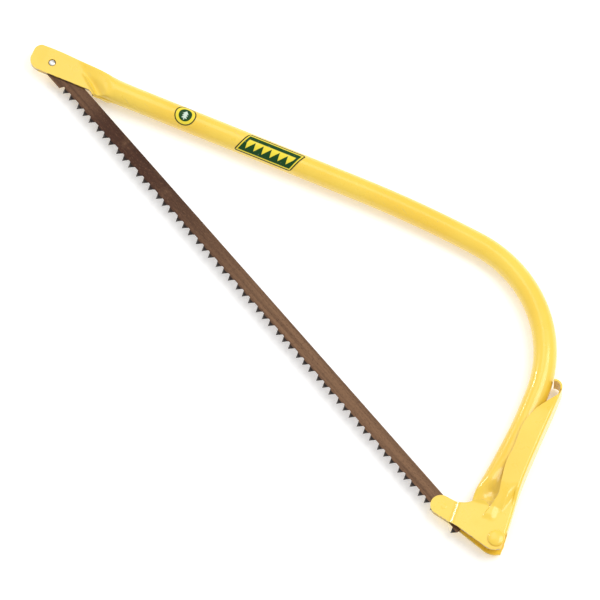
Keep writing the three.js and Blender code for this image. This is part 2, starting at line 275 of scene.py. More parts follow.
def paint_material(look):
    """Glossy yellow enamel: drifting colour, orange peel, hairline scratches, and worn cut edges."""
    n = Nodes("yellow_enamel")
    drift = n.noise(14.0, 2.0)
    cloud = n.noise(85.0, 4.0, 0.6)
    base = n.mix(n.step(drift, 0.35, 0.7), colour(look.paint), colour(look.paint_deep))
    base = n.mix(n.math("MULTIPLY", n.step(cloud, 0.5, 0.8), 0.25), base, colour(look.paint_deep))
    hair = n.noise(60.0, 2.0, 0.5, stretch=(1, 14, 1), turn=(0, 0, 0.5))
    hair = n.math("MULTIPLY", n.step(hair, 0.66, 0.69), n.step(n.noise(20.0, 1.0), 0.52, 0.62))
    specks = n.math("MULTIPLY", n.step(n.noise(420.0, 1.0), 0.74, 0.78), n.step(drift, 0.45, 0.6))
    marks = n.math("MAXIMUM", n.math("MULTIPLY", hair, 0.35), n.math("MULTIPLY", specks, 0.5))
    base = n.mix(marks, base, colour(look.paint_worn))
    edge = n.math("ADD", n.layer("edge"), n.math("MULTIPLY", n.noise(260.0, 3.0), 0.55))
    bare = n.step(edge, 1.18, 1.34)
    base = n.mix(bare, base, colour(look.bare))
    rough = n.math("ADD", n.step(cloud, 0.3, 0.8, 0.26, 0.4), n.math("MULTIPLY", marks, 0.3))
    peel = n.math("ADD", n.noise(700.0, 2.0), n.math("MULTIPLY", n.noise(120.0, 1.0), 1.5))
    height = n.math("SUBTRACT", peel, n.math("MULTIPLY", n.math("ADD", marks, bare), 2.0))
    return n.finish(
        Base_Color=base, Roughness=rough, Metallic=n.math("MULTIPLY", bare, 0.8),
        Coat_Weight=0.55, Coat_Roughness=0.07, Normal=n.bump(height, 0.22, 0.00012),
    )


def blade_material(look):
    """Brown hardened strip: lengthwise rolling streaks, mottled scale, and burnt dark tooth points."""
    n = Nodes("brown_blade_steel")
    x = n.add("SeparateXYZ", {0: n.add("TexCoord").outputs["Object"]}).outputs[0]
    base = n.mix(n.step(x, -0.17, 0.02), colour(look.blade), colour(look.blade_pale))
    heel = n.math("MULTIPLY", n.step(x, -0.2, -0.23), 0.55)
    base = n.mix(heel, base, colour(look.blade_pale))
    streak = n.noise(90.0, 4.0, 0.65, stretch=(0.05, 3.0, 1))
    mottle = n.noise(70.0, 5.0, 0.6)
    base = n.mix(n.step(streak, 0.35, 0.7, 0.0, 0.55), base, colour(look.blade_dark))
    base = n.mix(n.step(mottle, 0.52, 0.75, 0.0, 0.25), base, colour(look.blade_pale))
    speckle = n.noise(1100.0, 3.0, 0.7, stretch=(0.35, 1, 1))
    base = n.mix(n.step(speckle, 0.5, 0.68, 0.0, 0.55), base, colour(look.blade_dark))
    base = n.mix(n.step(speckle, 0.46, 0.34, 0.0, 0.35), base, colour(look.blade_pale))
    tooth = n.layer("tooth")
    burnt = n.step(n.math("ADD", tooth, n.math("MULTIPLY", mottle, 0.3)), 0.2, 0.42)
    base = n.mix(burnt, base, colour(look.blade_burnt))
    base = n.mix(n.math("MULTIPLY", n.layer("ground"), 0.4), base, colour(look.bare))
    rough = n.step(streak, 0.3, 0.7, 0.34, 0.55)
    return n.finish(
        Base_Color=base, Roughness=rough, Metallic=0.55,
        Normal=n.bump(n.math("ADD", streak, mottle), 0.25, 0.00008),
    )


def steel_material(look):
    """Bright turned steel: a fine grain bump, and light staining."""
    n = Nodes("bright_steel")
    stain = n.noise(260.0, 3.0)
    base = n.mix(n.step(stain, 0.45, 0.75), colour(look.bright), colour(look.bare))
    return n.finish(
        Base_Color=base, Metallic=0.9, Roughness=n.step(stain, 0.3, 0.8, 0.18, 0.4),
        Normal=n.bump(n.noise(900.0, 2.0), 0.2, 0.00005),
    )


def film_material(n, base, scuffs):
    """Printed film: the given colour with fine scuffs and a soft print grain."""
    wear = n.math("MULTIPLY", n.step(n.noise(240.0, 4.0, 0.6), 0.62, 0.7), scuffs)
    base = n.mix(wear, base, (0.75, 0.72, 0.55, 1))
    rough = n.step(n.noise(150.0, 3.0), 0.3, 0.8, 0.3, 0.45)
    return n.finish(Base_Color=base, Roughness=rough, Specular_IOR_Level=0.25,
                    Normal=n.bump(n.noise(500.0, 2.0), 0.12, 0.00006))


def print_place(n):
    """The two numbers of a film's own map, each run out from 0..1 to -1..1."""
    parts = n.add("SeparateXYZ", {0: n.add("UVMap", uv_map="print").outputs[0]})
    return [n.math("SUBTRACT", n.math("MULTIPLY", parts.outputs[i], 2.0), 1.0) for i in (0, 1)]


def badge_material(look):
    """Round badge: dark rim, yellow ring, green disc, and a plain fir tree of three triangles."""
    n = Nodes("badge_print")
    u, v = print_place(n)
    radius = n.math("SQRT", n.math("ADD", n.math("MULTIPLY", u, u), n.math("MULTIPLY", v, v)))
    base = n.mix(n.step(radius, 0.60, 0.63), colour(look.print_green), colour(look.print_yellow))
    base = n.mix(n.step(radius, 0.88, 0.91), base, colour(look.print_dark))
    side = n.math("ABSOLUTE", u)
    tree = 0.0
    for foot, top in ((-0.34, 0.02), (-0.14, 0.22), (0.06, 0.42)):
        height = n.math("SUBTRACT", v, foot)
        reach = n.math("SUBTRACT", 0.3, n.math("MULTIPLY", height, 0.3 / (top - foot)))
        inside = n.math("MULTIPLY", n.step(height, 0.0, 0.02),
                        n.step(n.math("SUBTRACT", reach, side), 0.0, 0.03))
        tree = n.math("MAXIMUM", tree, inside)
    standing = n.math("MULTIPLY", n.step(v, -0.48, -0.46), n.step(v, -0.32, -0.36))
    trunk = n.math("MULTIPLY", n.step(side, 0.06, 0.04), standing)
    tree = n.math("MAXIMUM", tree, trunk)
    base = n.mix(tree, base, colour(look.print_pale))
    return film_material(n, base, 0.25)


def plate_material(look):
    """Name plate without a name: dark outline, yellow border, green field with a saw-tooth band."""
    n = Nodes("plate_print")
    u, v = print_place(n)
    wide = n.math("MULTIPLY", n.math("SUBTRACT", 1.0, n.math("ABSOLUTE", u)), PLATE_HALF_LENGTH)
    tall = n.math("MULTIPLY", n.math("SUBTRACT", 1.0, n.math("ABSOLUTE", v)), PLATE_HALF_WIDTH)
    margin = n.math("MINIMUM", wide, tall)
    base = n.mix(n.step(margin, 1.0, 1.2), colour(look.print_dark), colour(look.print_yellow))
    base = n.mix(n.step(margin, 2.1, 2.3), base, colour(look.print_green))
    wave = n.math("PINGPONG", n.math("MULTIPLY", n.math("ADD", u, 1.0), 6.3), 0.9)
    low = n.math("ADD", n.math("MULTIPLY", wave, 0.85), -0.5)
    band = n.math("MULTIPLY", n.step(n.math("SUBTRACT", v, low), 0.0, 0.05),
                  n.step(n.math("SUBTRACT", 0.42, v), 0.0, 0.05))
    band = n.math("MULTIPLY", band, n.step(wide, 4.4, 4.7))
    base = n.mix(band, base, colour(look.print_yellow))
    return film_material(n, base, 0.3)


# ---------- Frame tube ----------

NOSE_HALF_WIDTH = 14.2
NOSE_HALF_THICK = 2.2
SLOT_EDGE = 8.0  # the nose is open below this distance under the tube's axis
HEEL_HALF_WIDTH = 13.2
HEEL_HALF_THICK = 3.1
HEEL_FROM = 655.0  # the heel's end is drawn in from here
HEEL_END = 693.0
# Spans, as start and length: the first two from the nose pin, and the others along the tube.
NOSE_PRESS = (26, 27)
NOSE_PRESS_ABOVE = (-4, 76)  # the upper edge runs out to the tube more slowly than the lower one
HEEL_WIDEN = (572, 62)
HEEL_PRESS = (636, 20)
HEEL_DISH = (610, 34)
HEEL_DISH_END = (650, 5)
DISH_DEPTH = 4.2
CREASE_AT = 28.0  # where the oblique crease crosses a line 2.5 above the axis, from the nose pin
CREASE_SLOPE = 1.28
ROUND_FROM = 57.0  # from the nose pin: from here on the tube has its full height
LIP_HEIGHT = 1.5


def tube_path(distance):
    """The centre line at a distance from the nose end: the heading drops by each bend's turn as
    the distance runs through it, and the place is the running sum of the step at that heading."""
    lengths, turns = np.array(TUBE_RUNS, float).T
    starts = np.cumsum(lengths) - lengths
    fine = np.linspace(0, lengths.sum() + 20, 6000)
    share = np.clip((fine[:, None] - starts) / lengths, 0, 1)
    heading = TUBE_HEADING + np.radians(share @ turns)
    step = np.diff(fine, prepend=0)
    c, s = math.cos(TUBE_HEADING), math.sin(TUBE_HEADING)
    x = -NOSE_REACH * c + AXIS_BELOW_PIN * s + np.cumsum(step * np.cos(heading))
    y = -NOSE_REACH * s - AXIS_BELOW_PIN * c + np.cumsum(step * np.sin(heading))
    return np.interp(distance, fine, x), np.interp(distance, fine, y), np.interp(distance, fine, heading)


def nose_tip(across):
    """How far the rounded nose reaches at a distance across the axis: two quarter arcs and a
    short straight between them, as the negative distance from the pin."""
    low = -8.5 - np.sqrt(np.clip(100 - (np.minimum(across, 2) - 2) ** 2, 0, None))
    high = -11.3 - np.sqrt(np.clip(49.5 - (np.maximum(across, 7.2) - 7.2) ** 2, 0, None))
    return np.maximum(low, high)


def tube_skin(radius):
    """The tube's outer skin. Round it is (-r cos a, r sin a). Pressed, the width grows, the height
    shrinks, and the sine is flattened with a hyperbolic tangent. The nose is pressed up to an
    oblique crease with a raised lip, and open along its lower side; the heel is dished."""
    columns = 112
    row = spread((0, 20, 0.8), (20, 80, 0.9), (80, 290, 5), (290, 400, 4), (400, 560, 1.8),
                 (560, 615, 3), (615, 697, 0.9))[:, None]
    nose_side = row < 200
    reach = row - NOSE_REACH
    press_nose = 1 - eased(reach, NOSE_PRESS)
    press_heel = eased(row, HEEL_PRESS)
    widen = eased(row, HEEL_WIDEN)
    nose_gain, heel_gain = NOSE_HALF_WIDTH - radius, HEEL_HALF_WIDTH - radius
    width = radius + nose_gain * press_nose + heel_gain * widen
    cut = np.where(reach < 38, -SLOT_EDGE, -SLOT_EDGE - (reach - 38) * 0.7)
    first = np.arccos(np.clip(-cut / width, -1, 1))
    angle = first + (2 * np.pi - 2 * first) * np.linspace(0, 1, columns + 1)
    upper_width = radius + nose_gain * (1 - eased(reach, NOSE_PRESS_ABOVE)) + heel_gain * widen
    across = -np.where(angle > np.pi / 2, upper_width, width) * np.cos(angle)
    # The nose end follows its outline, and the heel ends on two oblique cuts under the cheeks.
    at = row + (nose_tip(across) + NOSE_REACH) * np.clip(1 - row / 30, 0, 1) ** 2
    heel_end = 663.3 + np.minimum((18.8 + 0.76 * across) / 0.649, (19 - 0.953 * across) / 0.3014)
    heel_end = np.minimum(heel_end, HEEL_END)
    at = np.where(row > HEEL_FROM, HEEL_FROM + (row - HEEL_FROM) / 42 * (heel_end - HEEL_FROM), at)
    reach = at - NOSE_REACH
    # Height over the middle plane: a raised lip along the crease, then a hollow behind it.
    crease = CREASE_AT + CREASE_SLOPE * (2.5 - across)
    rise = ease((reach - crease) / (ROUND_FROM - crease))
    flat = 1 - ease((reach - crease - 2) / (ROUND_FROM + 3 - crease))
    lip = LIP_HEIGHT * np.exp(-((reach - crease - 0.6) / 1.6) ** 2) * ease((5 - across) / 6)
    lip = lip - LIP_HEIGHT * np.exp(-((reach - crease - 6.5) / 4) ** 2) * ease((4 - across) / 7)
    tip = 0.55 * ease((-6 - reach) / 7)
    nose_height = NOSE_HALF_THICK + (radius - NOSE_HALF_THICK) * rise - tip
    height = np.where(nose_side, nose_height, radius) + (HEEL_HALF_THICK - radius) * press_heel
    push = np.where(nose_side, 6.0 * flat, 3.2 * press_heel) + 1e-3
    wave = np.tanh(push * np.sin(angle)) / np.tanh(push)
    dish = np.minimum(DISH_DEPTH * eased(row, HEEL_DISH), height - 2.4) * np.exp(-((across - 1) / 5.5) ** 2)
    dish = np.where(row > 500, dish * (1 - eased(row, HEEL_DISH_END)), 0)
    z = height * wave + np.sign(wave) * (np.where(nose_side, lip, 0) - dish) * np.abs(wave) ** 3
    x, y, heading = tube_path(at)
    points = pin_frame(x - across * np.sin(heading), y + across * np.cos(heading), z)
    slot = np.minimum(angle - first, 2 * np.pi - first - angle) * width
    edge = np.where(cut > -width, np.exp(-slot / 0.6), 0)
    edge = np.maximum(edge, np.exp(-row / 0.7) + 0 * angle)
    return grid(points, edge=edge)


# ---------- Blade ----------

BLADE_BACK = 6.4
BLADE_TAIL = 526.5
ROOT, POINT = -5.3, -10.15  # the roots of the teeth and their points
FIRST_TOOTH = 26.4  # the middle tooth of the first group
GROUP_PITCH = 25.75
TOOTH_PITCH = 7.8
TOOTH_HALF_BASE = 3.0
LAST_TOOTH = 523.45  # alone, past the plain stretch in the ears
DEEP_FROM, DEEP_TO, DEEP_EDGE = 5.0, 20.8, -9.2  # the plain deep stretch before the teeth
DEEP_END = DEEP_TO + 1.4  # where it has risen to the root line
TOOTH_SET = 0.5  # how far a point is bent aside
GROUND_SHARE = 0.72  # of the thickness, ground away at a point


def blade_skin(look):
    """The blade's skin: a flat strip carried along x, whose lower edge is a row of pointed teeth.
    Below the root line each tooth is bent aside in turn, and ground from one face to an edge:
    at a distance d from its point along x, a tooth hangs down by a share 1 - d / half base."""
    groups = np.arange(look.tooth_groups)[:, None]
    tips = (FIRST_TOOTH + groups * GROUP_PITCH + (np.arange(3) - 1) * TOOTH_PITCH).ravel()
    tips = np.append(tips[tips > DEEP_TO], LAST_TOOTH)
    offsets = np.array([-3, -2.2, -1.4, -0.7, -0.25, 0, 0.25, 0.7, 1.4, 2.2, 3])
    stations = np.unique(np.concatenate([
        spread((-6.45, -3, 0.4), (-3, DEEP_FROM, 1), (DEEP_FROM, DEEP_TO, 5), (DEEP_TO, DEEP_END, 0.7)),
        spread((DEEP_END, BLADE_TAIL, 6)), (tips[:, None] + offsets).ravel(),
    ]))
    x = stations[:, None]
    near = np.abs(x - tips).argmin(1)
    away = np.abs(stations - tips[near])
    depth = np.where(away < TOOTH_HALF_BASE, 1 - away / TOOTH_HALF_BASE, 0)[:, None]
    edge = ROOT + (POINT - ROOT) * depth
    # Round nose end, a deeper stretch before the first tooth, and the tail cut down from the back.
    front = np.interp(x, [0, DEEP_FROM, DEEP_TO, DEEP_END], [-6.5, DEEP_EDGE, DEEP_EDGE, ROOT])
    front = np.where(x < 0, -np.sqrt(np.clip(42.2 - x * x, 0, None)), front)
    deep = x < DEEP_END
    edge = np.where(deep, front, edge)
    back = np.where(x < 0, np.sqrt(np.clip(41 - x * x, 0, None)), BLADE_BACK)
    tail = np.interp(x, [499, 509, BLADE_TAIL], [BLADE_BACK, 3.2, -2.0])
    back = np.where(x > 499, tail, back)
    side = np.where(near % 2 == 0, 1.0, -1.0)[:, None]
    # Rows from the back down to the edge: share of the body, then share of the tooth.
    body = np.array([0, 0.06, 0.35, 0.65, 0.93])
    tooth = np.array([0.0, 0.5, 1.0])
    line = np.where(deep, edge, np.maximum(edge, ROOT))
    y_body = back + (line - back) * body
    y_tooth = line + (edge - line) * tooth
    y = np.concatenate([y_body, y_tooth], 1)
    drop = np.where(deep, 0, np.clip((ROOT - y) / (ROOT - POINT), 0, 1))
    bend = side * TOOTH_SET * drop
    half = look.thickness / MM / 2
    ground = np.zeros_like(y)
    ground[:, -1] = np.where(depth[:, 0] > 0.001, 1, 0)
    upper = half - np.where(side > 0, 1, 0) * ground * GROUND_SHARE * half * 2
    lower = -half + np.where(side < 0, 1, 0) * ground * GROUND_SHARE * half * 2
    soft = np.ones_like(y)
    soft[:, 0] = 0.55  # the rolled back is thinner at its very edge
    top = pin_frame(x, y, upper * soft + bend)
    bottom = pin_frame(x, y, lower * soft + bend)
    ring = np.concatenate([top, bottom[:, ::-1], top[:, :1]], 1)
    marks = {"tooth": np.concatenate([drop, drop[:, ::-1], drop[:, :1]], 1)}
    sheen = ground * 0.8
    marks["ground"] = np.concatenate([sheen, sheen[:, ::-1], sheen[:, :1]], 1)
    sides = [grid(np.stack([top[i], bottom[i]]), flip=(i == 0)) for i in (0, -1)]
    return join(grid(ring, flip=True, **marks), *sides)


# ---------- Tension lever ----------

CHANNEL_HALF = 11.5
CHEEK_HALF = 7.0
EAR_HALF = 2.2
JOGGLE = (35.7, 6.4)  # start and length of the bend that closes the cheeks to the ears
TONGUE_NARROWS = (116, 26)  # start and length
TONGUE_LOSS = 3.0  # by which the half height shrinks there
EDGE_SPAN = 0.7  # how far worn paint reaches in from a cut edge
BEND_RADIUS = 2.3  # between a flange and the spine
CHEEK_LINE = 13.2  # the channel's front edge, where the cheeks go on from it
FRONT_FROM = 24.0  # from here on the front edge is free
SPINE_START = 9.0
SPINE_END = 138.5
EAR = (14.9, 51.4, 8.5)  # middle of its round end, and radius
TONGUE_RADIUS = 6.6
FLANGE_POINTS = 44
SPINE = ((-12, -6.4), (9, -6.4), (25, -5.8), (47, -4.7), (67, -5.2), (85, -6.3), (103, -7.5),
         (120, -8.8), (138.5, -9.6), (150, -9.6))
FRONT = ((24, 13.2), (37, 10.3), (49, 11.5), (62, 12.7), (81.5, 11.0), (93, 11.0), (103, 9.6),
         (113.5, 5.6), (120, 1.6), (126, -2.6), (131, -6.2), (134.5, -8.6), (138.5, -9.5))
LOWER = ((-8, -7.2), (-5.6, -7.8), (-2, -9.3), (3, -9.8), (12, -6.9), (20, -4.0), (33.2, 0.8),
         (46, 4.6), (54, 6.8), (60, 8.4))
UPPER = ((13.2, 24.0), (15.5, 26.4), (18, 27.7), (24, 27.6), (28, 25.3), (32, 22.8), (38, 21.3),
         (44, 22.1), (50, 23.3), (60, 25.1))


def cheek_height(x, y):
    """Outer half height of the lever. The tall channel comes down to the cheeks over a ramp,
    1 - (1 - t)^2, whose foot is a V with a low bead along each leg. The channel's corner stands
    a little over the cheek along a hooked line. The cheeks draw together towards the joggle,
    which closes them to the ears, and the channel narrows towards its tongue."""
    leg = np.where(y > -1.5, 39 - 3.1 * (y + 1.5), 39 - 2.7 * (-1.5 - y))
    foot = np.clip(leg, 25, 39)
    ramp = 1 - (1 - np.clip((x - foot) / (50 - foot), 0, 1)) ** 2
    hook_line = CHEEK_LINE + (25 - x) * 0.3
    hook = 1.1 * ease((hook_line - y) / 0.8 + 0.5) * ease((x - 12.5) / 6) * ease((y - 5) / 6)
    cheek = CHEEK_HALF - 0.1 * np.clip(y - 11.7, 0, 24)
    bead = 0.55 * np.exp(-((x - leg) / 2.6) ** 2) * ease((x - 21) / 5) * ease((41 - x) / 3)
    height = cheek + (CHANNEL_HALF - cheek) * ramp + hook * (1 - ramp) + bead
    height = height - TONGUE_LOSS * eased(x, TONGUE_NARROWS)
    return height + (EAR_HALF - height) * eased(y, JOGGLE)


def ear_edges(y):
    """The lower and upper edge of the cheek at a distance y from the pivot: the drawn edges, and
    past the ear's middle the two sides of its round end."""
    ex, ey, er = EAR
    half = np.sqrt(np.clip(er * er - (y - ey) ** 2, 0, None))
    low_blend, high_blend = ease((y - 52) / 4), ease((y - 47.7) / 4)
    low = through(LOWER, y) * (1 - low_blend) + (ex - half) * low_blend
    high = through(UPPER, y) * (1 - high_blend) + (ex + half) * high_blend
    return low, high


def channel_section(x, end_y, spine_y):
    """The channel's U at stations x, from one front edge round to the other: y, z and closeness to
    an edge. A round bend, tighter on a low flange, joins each flange to the spine."""
    flange = 1 - np.linspace(0, 1, FLANGE_POINTS)
    spine_share = np.linspace(1, -1, 15)[1:-1]
    reach = np.maximum(end_y - spine_y, 1e-3)
    bend = np.minimum(BEND_RADIUS, reach)
    top = cheek_height(x, spine_y + bend)
    arc = bend * np.pi / 2
    length = arc + reach - bend
    run = length * flange
    turn = np.minimum(run, arc) / bend
    y = spine_y + bend * (1 - np.cos(turn)) + np.maximum(run - arc, 0)
    z = np.where(run > arc, cheek_height(x, y), top - bend + bend * np.sin(turn))
    mid_z = (top - bend) * spine_share
    mid_y = spine_y + 0 * mid_z
    edge = np.exp(-(length - run) / EDGE_SPAN)
    parts = ((y, mid_y, y), (z, mid_z, -z), (edge, 0 * mid_z, edge))
    return [np.concatenate([first, mid, last[:, ::-1]], 1) for first, mid, last in parts]


def tongue_skin(section, strip, strip_edge):
    """The finger tongue: the channel's last section, carried round an arc past the spine's end."""
    end_y = through(SPINE, SPINE_END)
    curl = np.radians(spread((-90, 20, 6)))[:, None]
    tip = lever_frame(SPINE_END + 0.6 + TONGUE_RADIUS * np.cos(curl) + 0 * strip,
                      end_y + TONGUE_RADIUS + TONGUE_RADIUS * np.sin(curl) + 0 * strip, strip + 0 * curl)
    root = lever_frame(SPINE_END + 0 * strip, section, strip)
    edge = np.exp(-(curl[-1] - curl) * TONGUE_RADIUS / EDGE_SPAN) + 0 * strip
    return grid(np.concatenate([root, tip]), flip=True, edge=np.concatenate([strip_edge, edge]))


def flange_skin(y, z, share):
    """One flange below the spine's start, whose bend flattens out within a few millimetres."""
    low, _ = ear_edges(y)
    x = low + (SPINE_START - low) * share
    flat = ease((SPINE_START - x) / 4)
    height = z + (np.sign(z) * cheek_height(x, y + 0 * x) - z) * flat
    return grid(lever_frame(x, y + 0 * x, height), flip=True, edge=np.exp(-(x - low) / EDGE_SPAN))


def lever_skin():
    """The lever's outer skin. Its channel is a U carried along x, whose bare strip curls in on an
    arc at the tongue. Past the spine's start the two flanges run on as flat cheeks to their lower
    edge, and each cheek runs out to its ear in a grid from its lower to its upper edge."""
    along = spread((SPINE_START, FRONT_FROM, 0.8), (FRONT_FROM, 50, 0.65), (50, 120, 1.5),
                   (120, SPINE_END, 0.7))[:, None]
    front = np.where(along < FRONT_FROM, CHEEK_LINE, through(FRONT, along))
    y, z, edge = channel_section(along, front, through(SPINE, along))
    edge = edge * ease((along - FRONT_FROM) / 3)
    channel = grid(lever_frame(along + 0 * y, y, z), flip=True, edge=edge)
    tongue = tongue_skin(y[-1:], z[-1:], edge[-1:])
    share = np.linspace(0, 1, 26)[:, None]
    sides = (slice(0, FLANGE_POINTS), slice(-FLANGE_POINTS, None))
    flanges = [flange_skin(y[:1, side], z[:1, side], share) for side in sides]
    # Each cheek from the channel's front edge out to the end of the ear.
    _, ear_y, ear_radius = EAR
    rows = np.concatenate([
        spread((CHEEK_LINE, 20, 0.5), (20, 34, 1.2), (34, 44, 0.45), (44, 52, 1)),
        ear_y + ear_radius * np.sin(np.linspace(0.12, np.pi / 2, 22)),
    ])[:, None]
    low, high = ear_edges(rows)
    shared = along[(along > SPINE_START + 0.1) & (along < FRONT_FROM + 0.1)]
    at_front = np.concatenate([low[0] + (SPINE_START - low[0]) * share[:, 0], shared])
    ex = low + (high - low) * (at_front - low[0]) / (high[0] - low[0])
    ey = rows + 0 * ex
    ez = cheek_height(ex, ey)
    end = (ear_y + ear_radius - ey) * 3
    inside = np.minimum(np.minimum(ex - low, high - ex), end)
    edge_ear = np.exp(-inside / EDGE_SPAN) * ease((ey - 13) / 3)
    upper = grid(lever_frame(ex, ey, ez), flip=True, edge=edge_ear)
    lower = grid(lever_frame(ex, ey, -ez), edge=edge_ear)
    return join(channel, tongue, *flanges, upper, lower)


# ---------- Turned pieces ----------

def turned_skin(centre, profile, sides=64):
    """A closed profile of (radius, height) points turned about the z axis through a centre."""
    radius, height = np.array(profile, float).T
    angle = np.linspace(0, 2 * np.pi, sides + 1)[:, None]
    points = np.stack([radius * np.cos(angle), radius * np.sin(angle), height + 0 * angle], -1)
    return grid(points * MM + centre)


RIVET_SEAT = 7.02  # just off the cheeks
RIVET_DOME = 2.4
RIVET_SHANK = 3.0
NOSE_PIN = ((0, -2.0), (2.2, -2.0), (2.55, -1.75), (2.6, -1.6), (2.6, 1.6), (2.55, 1.75),
            (2.2, 1.95), (1.0, 2.0), (0, 2.0))
REAR_PIN_END = ((0, 2.34), (1.5, 2.34), (2.1, 2.3), (2.35, 2.22), (2.4, 2.1))


def dome(radius, seat, height, rim=0.5):
    """A low dome's profile from its rim to the middle: the radius goes as cos(t) ^ 0.8, and the
    height over the rim as sin(t)."""
    t = np.linspace(0, np.pi / 2, 14)
    curve = np.stack([radius * np.cos(t) ** 0.8, seat + rim + (height - rim) * np.sin(t)], 1)
    return [(radius - 0.25, seat), (radius, seat + 0.2), *map(tuple, curve)]


def mirrored(profile):
    """A profile turned upside down, in the opposite order."""
    return [(radius, -height) for radius, height in reversed(profile)]


# ---------- Printed films ----------

FILM_GAP = 0.14  # from the tube to the film's outer face
FILM_THICK = 0.1 * MM
BADGE_ALONG = 138.5
BADGE_RADIUS = 9.0
PLATE_ALONG = 214.4
PLATE_ARC = -2.9  # its middle, round the tube from the top
PLATE_HALF_ARC = 9.3
PLATE_HALF_LENGTH = 25.0
PLATE_HALF_WIDTH = 8.9  # as printed: the margins are measured from it
PLATE_SLANT = 4.1
PLATE_CORNER = 2.2


def film_point(along, arc, lift, radius):
    """A place on the straight tube: along its axis, and round it by an arc from its top."""
    x, y, heading = tube_path(along)
    across = (radius + lift) * np.sin(arc / radius)
    z = (radius + lift) * np.cos(arc / radius)
    return pin_frame(x - across * np.sin(heading), y + across * np.cos(heading), z)


def badge_skin(radius):
    """The badge: rings round its middle, bent round the tube."""
    ring = np.linspace(0, 1, 14)[:, None]
    turn = np.linspace(0, 2 * np.pi, 73)
    u, v = ring * np.cos(turn), ring * np.sin(turn)
    points = film_point(BADGE_ALONG + BADGE_RADIUS * u, BADGE_RADIUS * v, FILM_GAP, radius)
    return grid(points, u=u, v=v)


def plate_skin(radius):
    """The plate: a slanted grid bent round the tube. Within a corner's radius of its two long
    edges its rows are drawn in by r (1 - sqrt(1 - s^2)), which rounds the corners."""
    u, v = np.meshgrid(np.linspace(-1, 1, 60), np.linspace(-1, 1, 40), indexing="ij")
    shrink = np.clip(1 - (1 - np.abs(v)) * PLATE_HALF_WIDTH / PLATE_CORNER, 0, 1)
    length = PLATE_HALF_LENGTH - PLATE_CORNER * (1 - np.sqrt(np.clip(1 - shrink ** 2, 0, 1)))
    along = PLATE_ALONG + u * length + PLATE_SLANT * v
    points = film_point(along, PLATE_ARC + PLATE_HALF_ARC * v, FILM_GAP, radius)
    return grid(points, flip=True, u=u * length / PLATE_HALF_LENGTH, v=v)


def point_layer(mesh, name):
    """A mesh's float layer as an array."""
    values = np.zeros(len(mesh.vertices), np.float32)
    mesh.attributes[name].data.foreach_get("value", values)
    return values


def add_print_map(piece):
    """Makes the piece's own map from its layers u and v, taken from -1..1 to 0..1."""
    mesh = piece.data
    corner = np.zeros(len(mesh.loops), np.int32)
    mesh.loops.foreach_get("vertex_index", corner)
    both = np.stack([(point_layer(mesh, "u") + 1) / 2, (point_layer(mesh, "v") + 1) / 2], -1)
    mesh.uv_layers.new(name="print").data.foreach_set("uv", both[corner].astype(np.float32).ravel())


# ---------- Settings ----------

class BowSawTube(bpy.types.PropertyGroup):
    """Sizes of the frame tube"""
    radius: FloatProperty(
        name="Radius", description="Outer radius of the round tube", default=0.0095, min=0.005,
        unit="LENGTH")
    wall: FloatProperty(
        name="Wall", description="Wall of the tube", default=0.0015, min=0.0005, unit="LENGTH")
    pin_hole: FloatProperty(
        name="Pin hole", description="Radius of the hole in the nose", default=0.0031,
        unit="LENGTH")


class BowSawBlade(bpy.types.PropertyGroup):
    """Sizes of the blade"""
    thickness: FloatProperty(
        name="Thickness", description="Thickness of the blade strip", default=0.0008, min=0.0003,
        unit="LENGTH")
    tooth_groups: IntProperty(
        name="Tooth groups", description="Groups of three teeth along the blade", default=19, min=1,
        max=19)


class BowSawLever(bpy.types.PropertyGroup):
    """Sizes of the tension lever and its rivet"""
    sheet: FloatProperty(
        name="Sheet", description="Thickness of the pressed sheet", default=0.0015, min=0.0005,
        unit="LENGTH")
    rivet_head: FloatProperty(
        name="Rivet head", description="Radius of the pivot rivet's heads", default=0.0068,
        unit="LENGTH")


class BowSawLooks(bpy.types.PropertyGroup):
    """Colours of the paint, the steels and the stickers"""
    paint: FloatVectorProperty(
        name="Paint", description="Yellow enamel", subtype="COLOR", default=(0.93, 0.655, 0.075),
        min=0, max=1)
    paint_deep: FloatVectorProperty(
        name="Deep paint", description="Yellow enamel where it lies thicker", subtype="COLOR",
        default=(0.92, 0.60, 0.05), min=0, max=1)
    paint_worn: FloatVectorProperty(
        name="Rubbed paint", description="Scratches and specks in the enamel", subtype="COLOR",
        default=(0.62, 0.48, 0.16), min=0, max=1)
    bare: FloatVectorProperty(
        name="Bare steel", description="Steel at worn edges", subtype="COLOR",
        default=(0.30, 0.28, 0.25), min=0, max=1)
    bright: FloatVectorProperty(
        name="Bright steel", description="The nose pin", subtype="COLOR",
        default=(0.86, 0.86, 0.84), min=0, max=1)
    blade: FloatVectorProperty(
        name="Blade", description="Blade near the nose", subtype="COLOR",
        default=(0.05, 0.013, 0.003), min=0, max=1)
    blade_pale: FloatVectorProperty(
        name="Pale blade", description="Blade near the grip", subtype="COLOR",
        default=(0.20, 0.105, 0.052), min=0, max=1)
    blade_dark: FloatVectorProperty(
        name="Blade streaks", description="Rolling streaks", subtype="COLOR",
        default=(0.045, 0.018, 0.009), min=0, max=1)
    blade_burnt: FloatVectorProperty(
        name="Tooth points", description="Hardened points of the teeth", subtype="COLOR",
        default=(0.010, 0.005, 0.004), min=0, max=1)
    print_green: FloatVectorProperty(
        name="Print green", description="Green of the stickers", subtype="COLOR",
        default=(0.004, 0.055, 0.008), min=0, max=1)
    print_yellow: FloatVectorProperty(
        name="Print yellow", description="Yellow of the stickers", subtype="COLOR",
        default=(0.86, 0.70, 0.05), min=0, max=1)
    print_dark: FloatVectorProperty(
        name="Print outline", description="Dark outline of the stickers", subtype="COLOR",
        default=(0.016, 0.022, 0.01), min=0, max=1)
    print_pale: FloatVectorProperty(
        name="Print pale", description="Pale motif of the badge", subtype="COLOR",
        default=(0.62, 0.74, 0.62), min=0, max=1)


